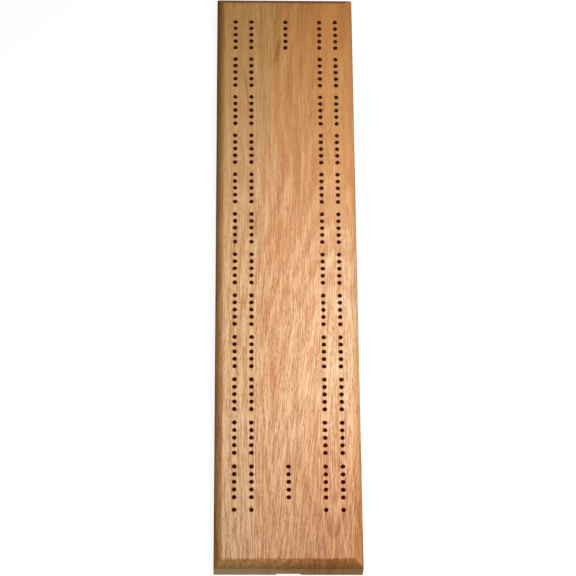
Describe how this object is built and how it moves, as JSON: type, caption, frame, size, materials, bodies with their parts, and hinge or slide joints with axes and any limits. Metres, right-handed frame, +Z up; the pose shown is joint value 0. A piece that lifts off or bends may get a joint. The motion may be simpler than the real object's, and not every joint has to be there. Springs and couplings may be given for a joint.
{
  "type": "cribbage board",
  "caption": "Long hardwood cribbage board with thumbnail-moulded edges, drilled peg tracks, and turned metal pegs kept under a sliding brass cover in its underside.",
  "frame": {"origin": "centre of the board's underside, on the surface that it rests on", "axes": "+Y along the board from its start holes to its far end, +X to the right seen from above, +Z up out of the playing face"},
  "size_m": [0.114, 0.512, 0.0191],
  "materials": {
    "oak": "open-pored red oak under a thin satin lacquer",
    "brass_plate": "brushed rolled plate, lightly tarnished",
    "brass_peg": "turned and polished",
    "steel_peg": "turned and nickel plated"
  },
  "bodies": {
    "board": {"board": "oak"},
    "cover": {"peg_cover": "brass_plate"},
    "brass_peg_1": {"brass_peg_1": "brass_peg"},
    "brass_peg_2": {"brass_peg_2": "brass_peg"},
    "brass_peg_3": {"brass_peg_3": "brass_peg"},
    "steel_peg_1": {"steel_peg_1": "steel_peg"},
    "steel_peg_2": {"steel_peg_2": "steel_peg"},
    "steel_peg_3": {"steel_peg_3": "steel_peg"}
  },
  "joints": [
    {"name": "cover_slide", "type": "slide", "parent": "board", "child": "cover", "axis": [0, -1, 0], "range_m": [0, 0.105]},
    {"name": "brass_peg_1_play", "type": "slide", "parent": "board", "child": "brass_peg_1", "axis": [0, 1, 0], "range_m": [-0.0023, 0.0023]},
    {"name": "brass_peg_2_play", "type": "slide", "parent": "board", "child": "brass_peg_2", "axis": [0, 1, 0], "range_m": [-0.0023, 0.0023]},
    {"name": "brass_peg_3_play", "type": "slide", "parent": "board", "child": "brass_peg_3", "axis": [0, 1, 0], "range_m": [-0.0023, 0.0023]},
    {"name": "steel_peg_1_play", "type": "slide", "parent": "board", "child": "steel_peg_1", "axis": [0, 1, 0], "range_m": [-0.0023, 0.0023]},
    {"name": "steel_peg_2_play", "type": "slide", "parent": "board", "child": "steel_peg_2", "axis": [0, 1, 0], "range_m": [-0.0023, 0.0023]},
    {"name": "steel_peg_3_play", "type": "slide", "parent": "board", "child": "steel_peg_3", "axis": [0, 1, 0], "range_m": [-0.0023, 0.0023]}
  ]
}
